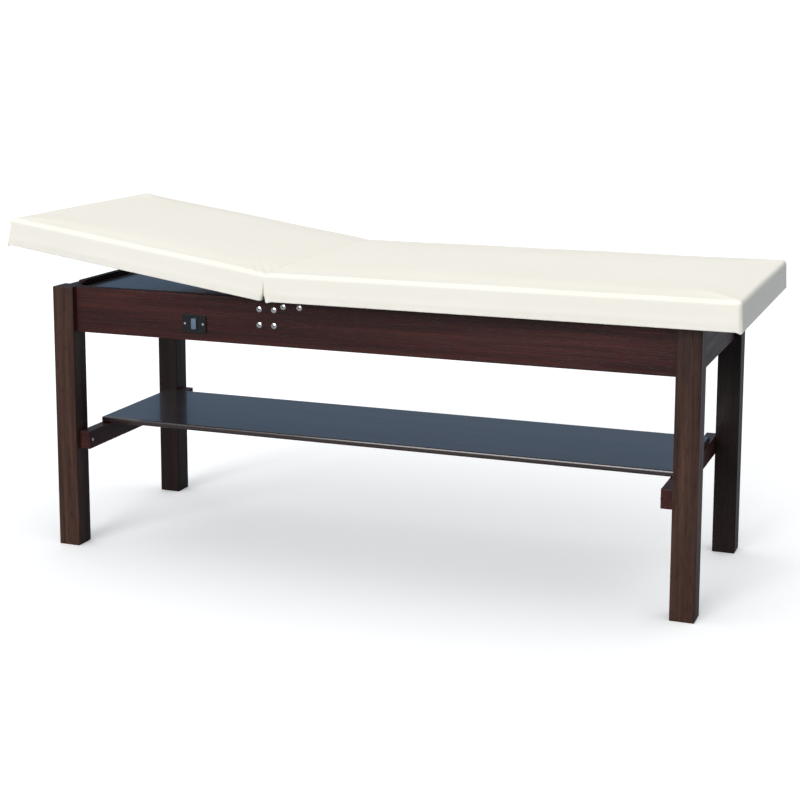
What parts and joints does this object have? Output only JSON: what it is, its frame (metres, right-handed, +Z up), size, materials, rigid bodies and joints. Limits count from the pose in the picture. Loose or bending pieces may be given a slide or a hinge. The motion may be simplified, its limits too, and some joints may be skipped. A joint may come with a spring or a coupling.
{
  "type": "medical exam table",
  "caption": "Wooden examination table with a two-section vinyl pad, a motor-raised backrest, square legs and a storage shelf.",
  "frame": {"origin": "on the floor, under the middle of the whole table's box as it stands with its backrest a little raised", "axes": "+X towards the foot end, +Y towards the rear, +Z up; the switch is on the front, -Y"},
  "size_m": [1.9164, 0.72, 0.8839],
  "materials": {
    "stained_wood": "dark stained hardwood, satin lacquer",
    "lacquered_panel": "dark lacquered board, glossy",
    "plywood": "bare plywood",
    "ivory_vinyl": "ivory vinyl-coated fabric over foam, smooth, semi-gloss",
    "zinc_steel": "zinc plated",
    "nickel": "nickel plated, polished",
    "black_plastic": "black, moulded",
    "rocker_grey": "blue-grey, moulded",
    "casing_plastic": "dark grey, fine texture",
    "rubber": "matte black"
  },
  "bodies": {
    "frame": {"actuator_gearbox": "casing_plastic", "actuator_motor": "casing_plastic", "actuator_tube": "zinc_steel", "apron_front": "stained_wood", "apron_rear": "stained_wood", "bumper_strip": "rubber", "connector_bolt_front_1": "nickel", "connector_bolt_front_2": "nickel", "connector_bolt_front_3": "nickel", "connector_bolt_front_4": "nickel", "connector_bolt_front_5": "nickel", "connector_bolt_front_6": "nickel", "connector_bolt_rear_1": "nickel", "connector_bolt_rear_2": "nickel", "connector_bolt_rear_3": "nickel", "connector_bolt_rear_4": "nickel", "connector_bolt_rear_5": "nickel", "connector_bolt_rear_6": "nickel", "control_box": "casing_plastic", "dust_panel": "lacquered_panel", "hinge_plate_front": "zinc_steel", "hinge_plate_rear": "zinc_steel", "leg_front_foot": "stained_wood", "leg_front_head": "stained_wood", "leg_rear_foot": "stained_wood", "leg_rear_head": "stained_wood", "mains_inlet": "rubber", "motor_clamp": "zinc_steel", "motor_lead": "rubber", "panel_rail": "stained_wood", "rail_foot": "stained_wood", "rail_head": "stained_wood", "seat_bearer_1": "stained_wood", "seat_bearer_2": "stained_wood", "seat_bearer_3": "stained_wood", "seat_board": "plywood", "seat_cushion": "ivory_vinyl", "shelf": "stained_wood", "stretcher_foot": "stained_wood", "stretcher_head": "stained_wood", "stretcher_screw_front_foot": "zinc_steel", "stretcher_screw_front_head": "zinc_steel", "stretcher_screw_rear_foot": "zinc_steel", "stretcher_screw_rear_head": "zinc_steel", "switch_housing": "black_plastic", "switch_lead": "rubber", "switch_plate": "black_plastic", "switch_screw_foot": "nickel", "switch_screw_head": "nickel", "tube_clamp": "zinc_steel"},
    "backrest": {"backrest_board": "plywood", "backrest_cushion": "ivory_vinyl", "hinge_shaft": "zinc_steel", "backrest_arm_front": "zinc_steel", "backrest_arm_rear": "zinc_steel", "lift_lever": "zinc_steel", "lever_pin": "zinc_steel"},
    "lift_rod": {"actuator_rod": "nickel", "rod_head": "zinc_steel"},
    "switch_rocker": {"rocker": "rocker_grey"}
  },
  "joints": [
    {"name": "backrest_hinge", "type": "hinge", "parent": "frame", "child": "backrest", "pos_m": [-0.22077, 0, 0.688], "axis": [0, 1, 0], "range_deg": [-8.3, 51.7]},
    {"name": "rod_slide", "type": "slide", "parent": "frame", "child": "lift_rod", "axis": [-1, 0, 0], "range_m": [-0.0125, 0.0745]},
    {"name": "switch_rock", "type": "hinge", "parent": "frame", "child": "switch_rocker", "pos_m": [-0.44177, -0.2983, 0.6245], "axis": [1, 0, 0], "range_deg": [-6, 6], "stiffness_Nm_per_rad": 0.2}
  ],
  "couplings": [
    {"joint": "rod_slide", "follows": "backrest_hinge", "m_per_rad": 0.0821}
  ]
}
